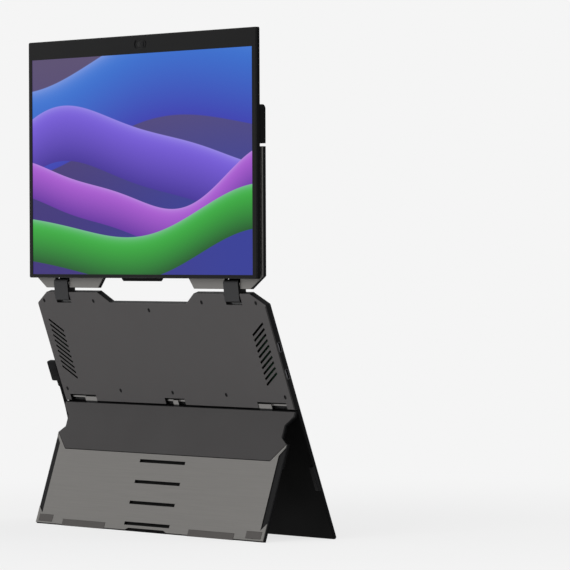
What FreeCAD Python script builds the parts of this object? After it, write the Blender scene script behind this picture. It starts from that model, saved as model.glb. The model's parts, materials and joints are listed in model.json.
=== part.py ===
import FreeCAD, Part
import math
import os

# Laptop screen extender: a leaning back panel with a folding kickstand, two
# double-axis links, a riser plate and a 15.6 inch class display on top.
# Millimetres, +Z up, the screen faces -Y. The origin is on the floor, under
# the middle of the object's box.

# Driving dimensions
WIDTH = 357.0
HALF = WIDTH / 2
LEAN = 18.7
KICK_ANGLE = 35.8
BASE_Y = 34.45
BASE_Z = 1.2

CASE_THICKNESS = 6.0
CASE_TOP = 218.0
CASE_NOTCH = 208.6
CASE_BOTTOM = 114.6
WALL = 1.3
LOWER_REAR = -2.6
CAVITY_BACK = -1.3
CAVITY_FRONT = -4.7
PLATE_BOTTOM = -2.4

LINK_X = 133.5
LINK_WIDTH = 22.0
LINK_PITCH = 11.7
LINK_THICKNESS = 7.8
LINK_TILT = 6.0
LINK_GAP = 0.8
AXLE_R = 1.2
RUNNING_GAP = 0.05
LOWER_AXIS_V = 213.4
LOWER_AXIS_W = -3.0

KICK_AXIS_V = 112.4
KICK_AXIS_W = -0.7
KICK_THICKNESS = 3.2
KICK_HALF_T = KICK_THICKNESS / 2
KICK_LENGTH = 113.4
KICK_SPLIT = -43.0
PIN_R = 0.7
EYE_R = 1.15

DISPLAY_HEIGHT = 210.5
SLAB_T = 4.2
SCREEN_WIDTH = 345.0
SCREEN_LOW = 3.2
SCREEN_HIGH = 194.4
RISER_FRONT = -6.3
RISER_BACK = -10.1
RISER_SKIN = 1.2
RISER_TOP = 110.8
RISER_BOTTOM = -8.8
UPPER_AXIS_V = -4.6
UPPER_AXIS_D = -8.2
TILT_AXIS_V = 112.0
TILT_AXIS_D = -10.3
MOUNT_LOW = 113.2
MOUNT_HIGH = 146.0

SOCKET_W = 8.94
SOCKET_H = 3.16
SOCKET_DEPTH = 7.3
RIGHT_SOCKETS = (170.0, 146.0)
LEFT_SOCKET = 144.8

CORD_D = 3.6
CORD_R = CORD_D / 2
CORD_X = -184.3
COIL_X = -148.0
COIL_Y = 86.0
COIL_LOW = 3.0
COIL_STEP = 4.1
COIL_INNER = 15.0
COIL_TURNS_A_LAYER = 2.75

parts = {}


def vec(x, y, z):
    return FreeCAD.Vector(x, y, z)


def box(x0, x1, y0, y1, z0, z1):
    low = vec(min(x0, x1), min(y0, y1), min(z0, z1))
    return Part.makeBox(abs(x1 - x0), abs(y1 - y0), abs(z1 - z0), low)


def rod(x0, x1, y, z, radius):
    return Part.makeCylinder(radius, x1 - x0, vec(x0, y, z), vec(1, 0, 0))


def stud(x, y, z0, z1, radius):
    return Part.makeCylinder(radius, z1 - z0, vec(x, y, z0), vec(0, 0, 1))


def prism(points, z0, z1):
    corners = [vec(x, y, z0) for x, y in points]
    wire = Part.makePolygon(corners + corners[:1])
    return Part.Face(wire).extrude(vec(0, 0, z1 - z0))


def symmetric(right):
    # A closed outline from its right half, listed from one end to the other
    return right + [(-x, y) for x, y in reversed(right)]


def fuse(shapes):
    whole = shapes[0]
    for shape in shapes[1:]:
        whole = whole.fuse(shape)
    return whole.removeSplitter()


def cut(shape, tools):
    for tool in tools:
        shape = shape.cut(tool)
    return shape


def flip_x(shape):
    return shape.mirror(vec(0, 0, 0), vec(1, 0, 0))


def pair(shape):
    return [shape, flip_x(shape)]


def along_z(edge):
    step = edge.Vertexes[-1].Point - edge.Vertexes[0].Point
    return abs(step.x) < 1e-6 and abs(step.y) < 1e-6 and abs(step.z) > 1e-6


def round_corners(shape, radius, above=-1000.0):
    return shape.makeFillet(radius, [e for e in shape.Edges
                                     if along_z(e) and e.Vertexes[0].Point.y > above])


def bevel_rim(shape, z, size):
    rim = [e for e in shape.Edges if all(abs(v.Point.z - z) < 1e-6 for v in e.Vertexes)]
    return shape.makeChamfer(size, rim)


def group(shapes):
    return Part.makeCompound([s.Solids[0] for s in shapes])


def oblong(x, y, width, height, z0, z1):
    # A flat slot with round ends, longer along x
    r = height / 2
    reach = width / 2 - r
    ends = [stud(x - reach, y, z0, z1, r), stud(x + reach, y, z0, z1, r)]
    return fuse([box(x - reach, x + reach, y - r, y + r, z0, z1)] + ends)


# Frames: each body is drawn flat (x across, y up it, z out of its rear face)
# and then turned about X and moved to its place
SLOPE = math.radians(LEAN)


def place(shape, angle, y, z):
    moved = shape.copy()
    turn = FreeCAD.Rotation(vec(1, 0, 0), angle)
    moved.Placement = FreeCAD.Placement(vec(0, y, z), turn).multiply(moved.Placement)
    return moved


def panel_point(v, w):
    y = BASE_Y - v * math.sin(SLOPE) - w * math.cos(SLOPE)
    z = BASE_Z + v * math.cos(SLOPE) - w * math.sin(SLOPE)
    return y, z


LOWER_AXIS = panel_point(LOWER_AXIS_V, LOWER_AXIS_W)
KICK_AXIS = panel_point(KICK_AXIS_V, KICK_AXIS_W)
TILT_RAD = math.radians(LINK_TILT)
UPPER_AXIS = (LOWER_AXIS[0] - LINK_PITCH * math.sin(TILT_RAD),
              LOWER_AXIS[1] + LINK_PITCH * math.cos(TILT_RAD))
DISPLAY_Y = UPPER_AXIS[0] + UPPER_AXIS_D
DISPLAY_Z = UPPER_AXIS[1] - UPPER_AXIS_V


def on_panel(shape):
    return place(shape, 90 + LEAN, BASE_Y, BASE_Z)


def on_kickstand(shape):
    return place(shape, 90 + LEAN - KICK_ANGLE, KICK_AXIS[0], KICK_AXIS[1])


def on_links(shape):
    return place(shape, 90 + LINK_TILT, LOWER_AXIS[0], LOWER_AXIS[1])


def on_display(shape):
    return place(shape, 90, DISPLAY_Y, DISPLAY_Z)


FLOOR_BLOCK = box(-300, 300, -300, 300, -50, 0)


def above_floor(shape):
    return shape.cut(FLOOR_BLOCK)


# Back panel
def case_outline(bottom):
    return symmetric([(HALF, bottom), (HALF, 207.8), (159.0, CASE_TOP), (76.0, CASE_TOP),
                      (60.0, CASE_NOTCH)])


NOTCH_IN = LINK_X - LINK_WIDTH / 2 - LINK_GAP
NOTCH_OUT = LINK_X + LINK_WIDTH / 2 + LINK_GAP
PANEL_NOTCH_FLOOR = LOWER_AXIS_V - 5.3


def link_notches(low, high, z0, z1):
    return pair(box(NOTCH_IN, NOTCH_OUT, low, high, z0, z1))


CASE_SCREWS = [(x, 210.0) for x in (-166.0, -85.0, 85.0, 166.0)] + [(0.0, 202.1)]
CASE_SCREWS += [(x, 126.1) for x in (-170.0, -82.6, 0.0, 82.6, 170.0)]
HEAD_R = 1.75
HEAD_T = 0.5
SHANK_R = 0.9
BOSS_R = 2.6

VENT_COUNT = 10
VENT_PITCH = 4.93
VENT_FIRST = 186.5
VENT_X = 158.0
VENT_LENGTH = 22.8
VENT_WIDTH = 2.0
VENT_SLANT = 29.5


def vent_slots():
    slots = []
    for i in range(VENT_COUNT):
        y = VENT_FIRST - i * VENT_PITCH
        slot = box(-VENT_LENGTH / 2, VENT_LENGTH / 2, -VENT_WIDTH / 2, VENT_WIDTH / 2, -2.0, 1.0)
        slot.rotate(vec(0, 0, 0), vec(0, 0, 1), VENT_SLANT)
        slot.translate(vec(VENT_X, y, 0))
        slots += pair(slot)
    return slots


HINGE_IN = 126.2
HINGE_OUT = 168.6
HINGE_BLOCK = 145.8
HINGE_TOP = 120.8
CENTRE_RECESS = 15.5
CENTRE_BLOCK = 4.0
RECESS_FLOOR = -3.4
LEAF_GAP = 0.4


def socket_hole(x0, x1, v, gap):
    hole = oblong(0, 0, SOCKET_W + gap, SOCKET_H + gap, x0, x1)
    hole.rotate(vec(0, 0, 0), vec(0, 1, 0), 90)
    hole.rotate(vec(0, 0, 0), vec(1, 0, 0), 90)
    hole.translate(vec(0, v, (CAVITY_BACK + CAVITY_FRONT) / 2))
    return hole


def rear_cover():
    shell = prism(case_outline(CASE_BOTTOM), CAVITY_FRONT, 0)
    shell = round_corners(shell, 1.5, CASE_BOTTOM + 1)
    shell = bevel_rim(shell, 0, 0.7)
    side = HALF - WALL - 0.3
    inner = prism(symmetric([(side, HINGE_TOP + 1.6), (side, 206.8), (158.2, CASE_TOP - 1.6),
                             (76.8, CASE_TOP - 1.6), (60.6, CASE_NOTCH - 1.6)]),
                  CAVITY_FRONT, CAVITY_BACK)
    guard = pair(box(NOTCH_IN - WALL, NOTCH_OUT + WALL, PANEL_NOTCH_FLOOR - WALL, 230,
                     CAVITY_FRONT, CAVITY_BACK))
    shell = shell.cut(cut(inner, guard))
    bosses = [stud(x, y, CAVITY_FRONT, CAVITY_BACK, BOSS_R) for x, y in CASE_SCREWS]
    shell = fuse([shell] + bosses)
    tools = link_notches(PANEL_NOTCH_FLOOR, 230, -10, 10)
    tools += [stud(x, y, -10, 1, SHANK_R) for x, y in CASE_SCREWS]
    tools += [stud(x, y, -HEAD_T - 0.3, 1, HEAD_R + 0.1) for x, y in CASE_SCREWS]
    tools += vent_slots()
    tools += pair(box(HINGE_IN, HINGE_OUT, 100, HINGE_TOP, RECESS_FLOOR, 1))
    tools += [box(-CENTRE_RECESS, CENTRE_RECESS, 100, HINGE_TOP, RECESS_FLOOR, 1)]
    tools += [socket_hole(HALF - 6, HALF + 6, v, 0.1) for v in RIGHT_SOCKETS]
    tools += [socket_hole(-HALF - 6, -HALF + 6, LEFT_SOCKET, 0.1)]
    tools += pair(rod(NOTCH_IN - 3, NOTCH_OUT + 3, LOWER_AXIS_V, LOWER_AXIS_W, AXLE_R + 0.1))
    return cut(shell, tools)


def support_plate():
    plate = prism(case_outline(PLATE_BOTTOM), -CASE_THICKNESS, CAVITY_FRONT)
    plate = bevel_rim(round_corners(plate, 1.5), -CASE_THICKNESS, 0.4)
    tools = link_notches(PANEL_NOTCH_FLOOR, 230, -10, 10)
    tools += [stud(x, y, CAVITY_FRONT - 0.9, 0, SHANK_R) for x, y in CASE_SCREWS]
    return cut(plate, tools)


BUMPER_LOW = 41.6
BUMPER_HIGH = 63.2
LOWER_TOP = CASE_BOTTOM - 0.2


def lower_cover():
    points = symmetric([(HALF, PLATE_BOTTOM), (HALF, LOWER_TOP)])
    cover = prism(points, CAVITY_FRONT, LOWER_REAR)
    cover = bevel_rim(cover, LOWER_REAR, 0.3)
    return cut(cover, pair(box(HALF - 5.2, HALF + 1, BUMPER_LOW, BUMPER_HIGH, -3.6, 0)))


def side_bumper():
    shape = box(HALF - 5.2, HALF, BUMPER_LOW, BUMPER_HIGH, -3.6, -1.4)
    edges = [e for e in shape.Edges if all(abs(v.Point.z + 1.4) < 1e-6 for v in e.Vertexes)]
    return shape.makeChamfer(0.6, edges)


def case_screw(x, y):
    head = stud(x, y, -HEAD_T - 0.3, -0.3, HEAD_R)
    drive = [box(x - 0.9, x + 0.9, y - 0.16, y + 0.16, -0.6, 0),
             box(x - 0.16, x + 0.16, y - 0.9, y + 0.9, -0.6, 0)]
    return fuse([cut(head, drive), stud(x, y, CAVITY_FRONT - 0.9, -HEAD_T - 0.3, SHANK_R)])


MESH_HALF = 12.5


def vent_mesh():
    return box(VENT_X - MESH_HALF, VENT_X + MESH_HALF, 131.5, 197.0, CAVITY_BACK - 0.35,
               CAVITY_BACK)


BOARD_LOW = 136.5
BOARD_HIGH = 179.0
BOARD_BACK = -3.9


def main_board():
    board = box(-HALF + 2.4, HALF - 2.4, BOARD_LOW, BOARD_HIGH, CAVITY_FRONT, BOARD_BACK)
    keep = SOCKET_W / 2 + 0.3
    tools = [box(HALF - SOCKET_DEPTH - 1.4, HALF, v - keep, v + keep, -6, 0) for v in RIGHT_SOCKETS]
    tools += [box(-HALF, -HALF + SOCKET_DEPTH + 1.4, LEFT_SOCKET - keep, LEFT_SOCKET + keep, -6, 0)]
    return cut(board, tools)


def board_chips():
    sizes = [(0, 158, 14, 14), (34, 160, 9, 9), (-36, 156, 10, 7), (-70, 160, 6, 6),
             (72, 152, 7, 5), (120, 158, 12, 8), (-120, 158, 12, 8)]
    chips = [box(x - a / 2, x + a / 2, y - b / 2, y + b / 2, BOARD_BACK, BOARD_BACK + 1.3)
             for x, y, a, b in sizes]
    return group(chips)


def usb_socket(side, v):
    # A shell open at the outer end, with its contact tongue inside
    x1 = HALF - 0.25
    x0 = x1 - SOCKET_DEPTH
    middle = (CAVITY_BACK + CAVITY_FRONT) / 2
    shell = socket_hole(x0, x1, v, 0)
    inside = socket_hole(x0 + 0.6, x1 + 1, v, -0.6)
    tongue = box(x0, x1 - 1.2, v - 3.3, v + 3.3, middle - 0.35, middle + 0.35)
    socket = fuse([shell.cut(inside), tongue])
    return socket if side > 0 else flip_x(socket)


def lower_hinge_bracket():
    # Two steel cheeks that hold the axle, one each side of the notch
    inner = box(NOTCH_IN - WALL - 6.6, NOTCH_IN - WALL - 0.1, 206.8, 216.0, CAVITY_FRONT, -1.4)
    outer = box(NOTCH_OUT + WALL + 0.1, NOTCH_OUT + WALL + 6.6, 206.8, 216.0, CAVITY_FRONT, -1.4)
    hole = rod(100, 170, LOWER_AXIS_V, LOWER_AXIS_W, AXLE_R)
    return group([inner.cut(hole), outer.cut(hole)])


def hinge_axle(v, w, reach):
    return rod(LINK_X - reach, LINK_X + reach, v, w, AXLE_R)


def washers(v, w):
    ring = []
    for x in (LINK_X - LINK_WIDTH / 2 - 0.6, LINK_X + LINK_WIDTH / 2 + 0.1):
        ring += pair(rod(x, x + 0.5, v, w, 2.7).cut(rod(x - 1, x + 1.5, v, w, AXLE_R)))
    return ring


LEAF_LOW = CASE_BOTTOM + LEAF_GAP
LEAF_HIGH = HINGE_TOP - 0.2
LEAF_FACE = RECESS_FLOOR + 0.5
LIP_TOP = HINGE_TOP - 1.8


def leaf_core(block_in, block_out):
    # The black middle of the leaf's block, which the bright cap covers
    return box(block_in, block_out, LEAF_LOW, LEAF_LOW + 1.6, LEAF_FACE, -1.2)


def kick_leaf(x0, block_in, block_out, x1):
    # Leaf in the recess, with an arm that reaches down to the pin
    base = box(x0, x1, LEAF_LOW, LEAF_HIGH, RECESS_FLOOR, LEAF_FACE)
    arm = box(block_in, block_out, KICK_AXIS_V, LEAF_LOW, KICK_AXIS_W - EYE_R, -0.3)
    eye = rod(block_in, block_out, KICK_AXIS_V, KICK_AXIS_W, EYE_R)
    leaf = fuse([base, leaf_core(block_in, block_out), arm, eye])
    return leaf.cut(rod(block_in - 1, block_out + 1, KICK_AXIS_V, KICK_AXIS_W, PIN_R))


def kick_leaf_cap(x0, block_in, block_out, x1):
    # Bright cover on the leaf: a thin lip across it and a block over the arm
    lip = box(x0, x1, LIP_TOP - 1.5, LIP_TOP, LEAF_FACE, -1.7)
    block = box(block_in, block_out, LEAF_LOW, LIP_TOP, LEAF_FACE, -0.3)
    return fuse([lip, block.cut(leaf_core(block_in, block_out))])


def kick_pin(x0, x1):
    return rod(x0, x1, KICK_AXIS_V, KICK_AXIS_W, PIN_R)


def base_strip():
    # Rubber under the panel's lower edge
    strip = box(-HALF + 14, HALF - 14, PLATE_BOTTOM - 0.9, PLATE_BOTTOM, -CASE_THICKNESS + 0.3,
                LOWER_REAR - 0.3)
    return strip


# Kickstand
KICK_HALF = symmetric([(HALF, -KICK_LENGTH), (HALF, -27.7), (168.7, -22.6), (168.7, -11.9),
                       (HALF, -4.0), (HALF, 0.0)])
PLATE_END = -112.2
NOTCH_X = 27.5
NOTCH_OPEN = 36.0
NOTCH_TOP = -110.4
SLOT_HALF = 35.3
SLOT_HEIGHT = 2.9
SLOTS = [-50.0 - 18.8 * i for i in range(4)]
STRIP_WIDTH = 7.4
INNER_SPLIT = 0.2


KNUCKLE_GAP = 0.4


def kick_knuckle_gaps():
    # Room for the leaves' arms in the tray
    low = -EYE_R - KNUCKLE_GAP
    tools = pair(box(HINGE_IN, HINGE_BLOCK + KNUCKLE_GAP, low, 5, -5, 5))
    reach = CENTRE_BLOCK + KNUCKLE_GAP
    return tools + [box(-reach, reach, low, 5, -5, 5)]


def kick_eye_pockets():
    # Room for the leaves' eyes under the upper panel, which covers them
    radius = EYE_R + 0.1
    reach = CENTRE_BLOCK + KNUCKLE_GAP
    sides = pair(rod(HINGE_IN, HINGE_BLOCK + KNUCKLE_GAP, 0, 0, radius))
    return sides + [rod(-reach, reach, 0, 0, radius)]


def kick_pin_bores():
    radius = PIN_R + RUNNING_GAP
    bores = pair(rod(HINGE_IN - 6, HINGE_BLOCK + 6.4, 0, 0, radius))
    return bores + [rod(-CENTRE_BLOCK - 6, CENTRE_BLOCK + 6, 0, 0, radius)]


def lower_plate_openings():
    # Slots and foot notch of the light plate only: the black tray closes them behind
    tools = [box(-SLOT_HALF, SLOT_HALF, y - SLOT_HEIGHT / 2, y + SLOT_HEIGHT / 2, -5, 5)
             for y in SLOTS]
    tools.append(prism(symmetric([(NOTCH_OPEN, -KICK_LENGTH), (NOTCH_X, NOTCH_TOP)]), -5, 5))
    return tools


WIDE_PAD = (65.5, 134.5, -KICK_LENGTH, -107.4)
SMALL_PAD = (151.7, 174.3, -110.8, -104.4)
PAD_DEPTH = 1.0


def pad_recess(pad, depth):
    x0, x1, y0, y1 = pad
    return box(x0, x1, y0, y1, depth, 5)


def kick_tray():
    plate = prism(KICK_HALF, -KICK_HALF_T, INNER_SPLIT)
    roll = rod(-HALF, HALF, 0, 0, KICK_HALF_T)
    bar = box(-HALF, HALF, -1.9, 0, -KICK_HALF_T, KICK_HALF_T)
    tray = fuse([plate, roll, bar])
    tools = kick_knuckle_gaps() + [box(-HALF - 1, HALF + 1, -3, 0, INNER_SPLIT, 5)]
    tools += pair(box(HALF - 6.2, HALF + 1, BUMPER_LOW - KICK_AXIS_V - 0.8,
                      BUMPER_HIGH - KICK_AXIS_V + 0.8, -5, -0.3))
    tools += pair(box(WIDE_PAD[0], WIDE_PAD[1], -KICK_LENGTH - 1, -KICK_LENGTH + 1.2, -5, 5))
    tools += kick_pin_bores()
    tools += [stud(x, y, -5, 5, 0.8) for x, y in KICK_SCREWS]
    tools += [stud(x, y, -5, -1.0, 1.6) for x, y in KICK_SCREWS]
    return cut(tray, tools)


KICK_SCREWS = [(x, y) for x in (-150.0, -60.0, 60.0, 150.0) for y in (-12.0, -60.0, -100.0)]


def kick_upper_panel():
    corner = HALF - 0.6
    points = symmetric([(160.0, KICK_SPLIT + 0.15), (corner, -28.1), (168.7, -22.6),
                        (168.7, -11.9), (HALF, -4.0), (HALF, 0.0)])
    skin = prism(points, INNER_SPLIT, KICK_HALF_T)
    return cut(skin, kick_eye_pockets() + kick_pin_bores())


def kick_lower_plate():
    points = symmetric([(HALF, PLATE_END), (HALF, -27.9), (160.2, KICK_SPLIT - 0.15)])
    skin = bevel_rim(prism(points, INNER_SPLIT, KICK_HALF_T), KICK_HALF_T, 0.3)
    tools = lower_plate_openings() + pair(side_strip_prism(0, INNER_SPLIT, 5))
    for pad in (WIDE_PAD, SMALL_PAD):
        tools += pair(pad_recess(pad, PAD_DEPTH))
    tools += pair(box(WIDE_PAD[0], WIDE_PAD[1], -KICK_LENGTH - 1, -KICK_LENGTH + 1.2, -5, 5))
    return cut(skin, tools)


def side_strip_prism(shrink, z0, z1):
    x0 = HALF - STRIP_WIDTH + shrink
    points = [(x0, -38.4 - shrink), (HALF + 1 - shrink, -30.2 - shrink),
              (HALF + 1 - shrink, -96.1 + shrink), (x0, -103.2 + shrink)]
    return prism(points, z0, z1).common(box(0, HALF, -200, 0, z0, z1))


def kick_side_strip():
    return side_strip_prism(0.15, INNER_SPLIT, KICK_HALF_T - 0.5)


def wide_pad():
    x0, x1, y0, y1 = WIDE_PAD
    face = box(x0 + 0.1, x1 - 0.1, y0, y1 - 0.1, PAD_DEPTH, KICK_HALF_T + 0.15)
    foot = box(x0 + 0.1, x1 - 0.1, y0, y0 + 1.1, -KICK_HALF_T, KICK_HALF_T + 0.15)
    return fuse([face, foot])


def small_pad():
    x0, x1, y0, y1 = SMALL_PAD
    return box(x0 + 0.1, x1 - 0.1, y0 + 0.1, y1 - 0.1, PAD_DEPTH, KICK_HALF_T + 0.15)


def kick_screw(x, y):
    return fuse([stud(x, y, -KICK_HALF_T + 0.1, -1.0, 1.5), stud(x, y, -1.0, INNER_SPLIT, 0.8)])


# Links
def link():
    half = LINK_THICKNESS / 2
    body = box(LINK_X - LINK_WIDTH / 2, LINK_X + LINK_WIDTH / 2, -half, LINK_PITCH + half,
               -half, half)
    long_edges = [e for e in body.Edges
                  if abs(e.Vertexes[1].Point.x - e.Vertexes[0].Point.x) > 1]
    body = body.makeFillet(3.0, long_edges)
    holes = [rod(100, 170, y, 0, AXLE_R + RUNNING_GAP) for y in (0, LINK_PITCH)]
    return cut(body, holes)


# Riser
def riser_outline():
    return symmetric([(65.0, 2.6), (75.3, RISER_BOTTOM), (160.0, RISER_BOTTOM),
                      (HALF, 2.2), (HALF, RISER_TOP)])


RISER_SPLIT = RISER_FRONT - RISER_SKIN
RISER_NOTCH_TOP = UPPER_AXIS_V + 4.6
KNUCKLES = (70.0, 77.8, 92.2, 100.0)
KNUCKLE_R = 2.0
TILT_PIN_R = 1.0


def tilt_clearance():
    return pair(rod(KNUCKLES[0] - 0.5, KNUCKLES[3] + 0.5, TILT_AXIS_V, TILT_AXIS_D,
                    KNUCKLE_R + 0.35))


LEAF_X = (66.0, 104.0)
LEAF_T = 1.0
LEAF_ROOT = 2.2
RISER_LEAF = (98.0, RISER_TOP)
MOUNT_LEAF = (MOUNT_LOW, 126.0)
RISER_SCREWS = [(x, y) for x in (-168.0, -20.0, 20.0, 168.0) for y in (14.0, 98.0)]
MOUNT_SCREWS = [(x, y) for x in (-165.0, -40.0, 40.0, 165.0) for y in (138.0,)]


def upper_axle_bores():
    # The axle is thicker than the back shell, so it reaches into the front skin
    return pair(rod(NOTCH_IN - 6, NOTCH_OUT + 6, UPPER_AXIS_V, UPPER_AXIS_D, AXLE_R))


def riser_front():
    skin = bevel_rim(prism(riser_outline(), RISER_SPLIT, RISER_FRONT), RISER_FRONT, 0.3)
    tools = link_notches(-20, RISER_NOTCH_TOP, -20, 5) + upper_axle_bores()
    return cut(skin, tools)


HOOD_LOW = RISER_NOTCH_TOP - 0.95
HOOD_HIGH = RISER_NOTCH_TOP + 2.2
HOOD_LIP = RISER_BACK - 0.8
HOOD_BACK = RISER_BACK - 1.9


def link_hoods():
    # Ribs on the rear face that close the gap above each link, clear of its swing
    root = box(NOTCH_IN, NOTCH_OUT, RISER_NOTCH_TOP, HOOD_HIGH, HOOD_BACK, RISER_BACK)
    lip = box(NOTCH_IN, NOTCH_OUT, HOOD_LOW, HOOD_HIGH, HOOD_BACK, HOOD_LIP)
    return pair(fuse([root, lip]))


def riser_back():
    shell = bevel_rim(prism(riser_outline(), RISER_BACK, RISER_SPLIT), RISER_BACK, 0.5)
    tools = link_notches(-20, RISER_NOTCH_TOP, -20, 5) + tilt_clearance()
    tools += pair(box(LEAF_X[0], LEAF_X[1], RISER_LEAF[0], RISER_LEAF[1] + 1,
                      RISER_BACK - 1, RISER_BACK + LEAF_T))
    tools += upper_axle_bores()
    tools += [stud(x, y, RISER_BACK - 1, RISER_BACK + 0.7, HEAD_R + 0.1) for x, y in RISER_SCREWS]
    tools += [box(-12.5, 12.5, 6.0, RISER_TOP - 3, RISER_SPLIT - 0.5, RISER_SPLIT + 1)]
    return fuse([cut(shell, tools)] + link_hoods())


def back_screw(x, y, back):
    head = stud(x, y, back + 0.2, back + 0.7, HEAD_R)
    drive = [box(x - 0.9, x + 0.9, y - 0.16, y + 0.16, back, back + 0.45),
             box(x - 0.16, x + 0.16, y - 0.9, y + 0.9, back, back + 0.45)]
    return cut(head, drive)


def ribbon_cable():
    return box(-12.0, 12.0, 6.5, RISER_TOP - 3.5, RISER_SPLIT - 0.4, RISER_SPLIT - 0.1)


def hinge_leaf(span, root, knuckles):
    # A plate in its recess, with tongues from the root to the knuckles
    plate = box(LEAF_X[0] + 0.1, LEAF_X[1] - 0.1, span[0] + 0.1, span[1], RISER_BACK,
                RISER_BACK + LEAF_T)
    keep_out = rod(LEAF_X[0], LEAF_X[1], TILT_AXIS_V, TILT_AXIS_D, KNUCKLE_R + 0.35)
    tongues = []
    for x0, x1 in knuckles:
        tongues.append(box(x0, x1, root, TILT_AXIS_V, RISER_BACK, RISER_BACK + LEAF_T))
        tongues.append(rod(x0, x1, TILT_AXIS_V, TILT_AXIS_D, KNUCKLE_R))
    leaf = fuse([plate.cut(keep_out)] + tongues)
    return leaf.cut(rod(50, 120, TILT_AXIS_V, TILT_AXIS_D, TILT_PIN_R + RUNNING_GAP))


def tilt_leaf_lower():
    return hinge_leaf(RISER_LEAF, RISER_TOP - LEAF_ROOT, [KNUCKLES[0:2], KNUCKLES[2:4]])


def tilt_leaf_upper():
    middle = (KNUCKLES[1] + 0.2, KNUCKLES[2] - 0.2)
    return hinge_leaf(MOUNT_LEAF, MOUNT_LOW + LEAF_ROOT, [middle])


def tilt_pin():
    return rod(KNUCKLES[0] + 0.3, KNUCKLES[3] - 0.3, TILT_AXIS_V, TILT_AXIS_D, TILT_PIN_R)


# Display
BEZEL_T = 0.9
CAM_V = 202.6
CAM_X = 0.0
LENS_R = 2.4
PILL = (3.4, CAM_V, 19.0, 7.6)
SHUTTER_X = 7.6
SHUTTER_TRAVEL = 7.0


def slab_outline():
    return symmetric([(HALF, 0.0), (HALF, DISPLAY_HEIGHT)])


def screen_window(grow, z0, z1):
    half = SCREEN_WIDTH / 2 + grow
    return box(-half, half, SCREEN_LOW - grow, SCREEN_HIGH + grow, z0, z1)


def display_bezel():
    plate = round_corners(prism(slab_outline(), -BEZEL_T, 0), 1.5)
    plate = bevel_rim(plate, 0, 0.5)
    pill = oblong(PILL[0], PILL[1], PILL[2], PILL[3], -0.6, 1)
    return cut(plate, [screen_window(0.1, -2, 1), pill, stud(CAM_X, CAM_V, -2, 1, LENS_R + 0.05)])


def display_shell():
    shell = round_corners(prism(slab_outline(), -SLAB_T, -BEZEL_T), 1.5)
    shell = bevel_rim(shell, -SLAB_T, 0.4)
    half = SCREEN_WIDTH / 2 + 4.4
    return shell.cut(box(-half, half, 1.2, DISPLAY_HEIGHT - 1.6, -SLAB_T + 0.9, 0))


def lcd_module():
    half = SCREEN_WIDTH / 2 + 4.0
    body = box(-half, half, 1.5, SCREEN_HIGH + 3.0, -SLAB_T + 0.9, -BEZEL_T - 0.05)
    return body


def screen():
    return screen_window(0, -BEZEL_T - 0.05, -0.25)


def display_driver():
    return box(-110, 110, SCREEN_HIGH + 3.6, DISPLAY_HEIGHT - 2.4, -SLAB_T + 0.9, -2.3).cut(
        box(-14, 14, SCREEN_HIGH, DISPLAY_HEIGHT, -5, 0))


def camera_module():
    base = box(-12, 12, SCREEN_HIGH + 3.8, DISPLAY_HEIGHT - 2.6, -SLAB_T + 0.9, -2.2)
    return fuse([base, stud(CAM_X, CAM_V, -2.2, -1.4, 2.0)])


def webcam_lens():
    return stud(CAM_X, CAM_V, -1.4, -0.65, LENS_R)


def webcam_shutter():
    tile = oblong(SHUTTER_X, CAM_V, 8.0, 6.8, -0.58, -0.12)
    ridge = oblong(SHUTTER_X, CAM_V, 5.0, 1.4, -0.12, 0.25)
    ridge.rotate(vec(SHUTTER_X, CAM_V, 0), vec(0, 0, 1), 90)
    return fuse([tile, ridge])


def rear_mount():
    block = prism(symmetric([(HALF, MOUNT_LOW), (HALF, MOUNT_HIGH)]), RISER_BACK, -SLAB_T)
    corners = [e for e in block.Edges if along_z(e) and e.Vertexes[0].Point.y > MOUNT_LOW + 1]
    block = block.makeFillet(4.0, corners)
    block = bevel_rim(block, RISER_BACK, 0.5)
    tools = tilt_clearance()
    tools += pair(box(LEAF_X[0], LEAF_X[1], MOUNT_LEAF[0] - 1, MOUNT_LEAF[1],
                      RISER_BACK - 1, RISER_BACK + LEAF_T))
    tools += [stud(x, y, RISER_BACK - 1, RISER_BACK + 0.7, HEAD_R + 0.1) for x, y in MOUNT_SCREWS]
    return cut(block, tools)


def pull_lip():
    points = symmetric([(31.5, 0.0), (31.5, -0.6), (29.0, -2.6)])
    return prism(points, -SLAB_T, -SLAB_T + 1.4)


# Cord: plugged into the panel's left side, down its edge, then a tied coil
PLUG_OUT = 15.2
PLUG_V = (132.5, 151.3)
RELIEF_END = 127.6
PLUG_W = (-5.7, -0.3)


def side_plug():
    x1 = -HALF - 0.25
    body = box(x1 - PLUG_OUT, x1, PLUG_V[0], PLUG_V[1], PLUG_W[0], PLUG_W[1])
    return body.makeFillet(1.5, [e for e in body.Edges if along_z(e)
                                 and e.Vertexes[0].Point.x < x1 - 1])


def plug_tip(length):
    # Metal end of a plug, hollow for the contact tongue, drawn along x
    outer = oblong(0, 0, 8.25, 2.4, 0, length)
    inner = oblong(0, 0, 7.0, 1.1, 1.0, length + 1)
    tip = outer.cut(inner)
    tip.rotate(vec(0, 0, 0), vec(0, 1, 0), 90)
    tip.rotate(vec(0, 0, 0), vec(1, 0, 0), 90)
    return tip


def side_plug_tip():
    tip = plug_tip(6.0)
    tip.translate(vec(-HALF - 0.25, LEFT_SOCKET, (CAVITY_BACK + CAVITY_FRONT) / 2))
    return tip


def side_relief():
    # A flat sleeve with round ends, along the cord's first run
    sleeve = oblong(0, 0, 8.0, 5.0, 0, PLUG_V[0] - RELIEF_END)
    sleeve.rotate(vec(0, 0, 0), vec(1, 0, 0), -90)
    sleeve.translate(vec(CORD_X, RELIEF_END, LOWER_AXIS_W))
    return sleeve


COIL_START = 180.0
REVERSE = 4 * COIL_TURNS_A_LAYER
SHRINK = COIL_STEP / 4
COIL_OUTER = COIL_INNER + SHRINK * REVERSE
COIL_END = 2 * REVERSE + 3


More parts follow.
